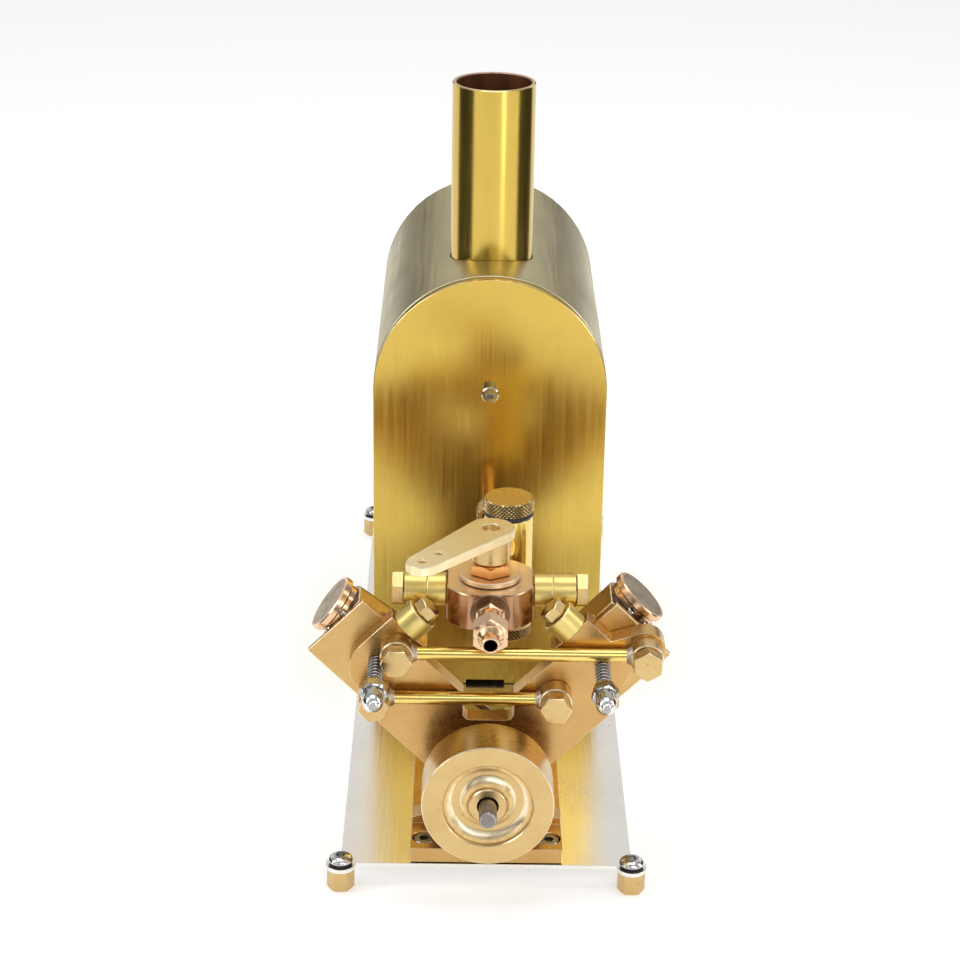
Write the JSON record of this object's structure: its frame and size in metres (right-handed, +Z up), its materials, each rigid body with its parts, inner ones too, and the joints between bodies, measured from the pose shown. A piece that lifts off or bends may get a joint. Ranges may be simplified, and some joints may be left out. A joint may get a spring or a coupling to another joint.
{
  "type": "model steam engine",
  "caption": "Model steam engine: brass boiler casing and chimney behind a V-twin oscillating engine with flywheel, reversing valve and lubricator on a steel base plate.",
  "frame": {"origin": "under the middle of the whole model, at foot level", "axes": "+X to the right when facing the flywheel, +Y from the flywheel to the back of the boiler, +Z up"},
  "size_m": [0.0822, 0.2154, 0.1599],
  "materials": {
    "polished_brass": "polished, bright",
    "dull_brass": "satin, slightly tarnished",
    "engine_brass": "machined, fine lines",
    "copper": "machined, warm reddish",
    "steel": "bright turned steel",
    "plate_steel": "satin sheet"
  },
  "bodies": {
    "engine_base": {"base_plate": "plate_steel", "bearing": "engine_brass", "boiler_drum": "copper", "casing_body": "polished_brass", "casing_front": "polished_brass", "casing_roof": "dull_brass", "casing_screw": "steel", "chimney": "polished_brass", "diagonal_bolt_left": "engine_brass", "diagonal_bolt_right": "engine_brass", "exhaust_nipple": "engine_brass", "foot_front_left": "engine_brass", "foot_front_right": "engine_brass", "foot_rear_left": "engine_brass", "foot_rear_right": "engine_brass", "foot_screw_front_left": "steel", "foot_screw_front_right": "steel", "foot_screw_rear_left": "steel", "foot_screw_rear_right": "steel", "frame": "engine_brass", "frame_screw_left": "steel", "frame_screw_right": "steel", "gland_nut": "copper", "lower_pipe": "polished_brass", "lower_pipe_bolt_left": "engine_brass", "lower_pipe_bolt_right": "engine_brass", "lubricator_link": "polished_brass", "lubricator_pot": "polished_brass", "port_plate_left": "engine_brass", "port_plate_right": "engine_brass", "side_bolt_left": "engine_brass", "side_bolt_right": "engine_brass", "steam_link_left": "polished_brass", "steam_link_right": "polished_brass", "steam_pipe": "polished_brass", "union_nut": "engine_brass", "upper_pipe": "polished_brass", "upper_pipe_bolt_left": "engine_brass", "upper_pipe_bolt_right": "engine_brass", "valve_body": "copper", "valve_flange": "copper"},
    "burner_tray": {"burner_tray": "dull_brass"},
    "crank": {"crankshaft": "steel", "flywheel": "engine_brass"},
    "cylinder_left": {"cylinder_cap_left": "copper", "cylinder_left": "engine_brass", "pivot_nut_left": "steel", "pivot_spring_left": "steel", "pivot_stud_left": "steel"},
    "cylinder_right": {"cylinder_cap_right": "copper", "cylinder_right": "engine_brass", "pivot_nut_right": "steel", "pivot_spring_right": "steel", "pivot_stud_right": "steel"},
    "drain_knob": {"drain_knob": "engine_brass"},
    "lubricator_cap": {"lubricator_cap": "engine_brass"},
    "piston_left": {"piston_left": "steel"},
    "piston_right": {"piston_right": "steel"},
    "safety_valve": {"safety_valve": "engine_brass"},
    "valve_lever": {"valve_lever": "engine_brass"}
  },
  "joints": [
    {"name": "crank_spin", "type": "hinge", "parent": "engine_base", "child": "crank", "pos_m": [0, -0.09305, 0.0262], "axis": [0, 1, 0], "continuous": true},
    {"name": "cylinder_left_swing", "type": "hinge", "parent": "engine_base", "child": "cylinder_left", "pos_m": [-0.02539, -0.07465, 0.05158], "axis": [0, 1, 0], "range_deg": [-0.41, 16.25]},
    {"name": "cylinder_right_swing", "type": "hinge", "parent": "engine_base", "child": "cylinder_right", "pos_m": [0.02539, -0.07465, 0.05158], "axis": [0, 1, 0], "range_deg": [-6.65, 10.01]},
    {"name": "piston_left_slide", "type": "slide", "parent": "cylinder_left", "child": "piston_left", "axis": [-0.7978, 0, 0.6029], "range_m": [-0.00394, 0.00646]},
    {"name": "piston_right_slide", "type": "slide", "parent": "cylinder_right", "child": "piston_right", "axis": [0.6861, 0, 0.7275], "range_m": [-0.01031, 0.00009]},
    {"name": "valve_lever_turn", "type": "hinge", "parent": "engine_base", "child": "valve_lever", "pos_m": [0, -0.07305, 0.0812], "axis": [0, 0, 1], "range_deg": [0, 78]},
    {"name": "lubricator_cap_turn", "type": "hinge", "parent": "engine_base", "child": "lubricator_cap", "pos_m": [0.0042, -0.05675, 0.0817], "axis": [0, 0, 1], "continuous": true},
    {"name": "drain_knob_turn", "type": "hinge", "parent": "engine_base", "child": "drain_knob", "pos_m": [0.0042, -0.05675, 0.0508], "axis": [0, 0, 1], "continuous": true},
    {"name": "safety_valve_turn", "type": "hinge", "parent": "engine_base", "child": "safety_valve", "pos_m": [0, 0.05695, 0.1167], "axis": [0, 0, 1], "continuous": true},
    {"name": "burner_tray_slide", "type": "slide", "parent": "engine_base", "child": "burner_tray", "axis": [0, 1, 0], "range_m": [0, 0.07]}
  ]
}
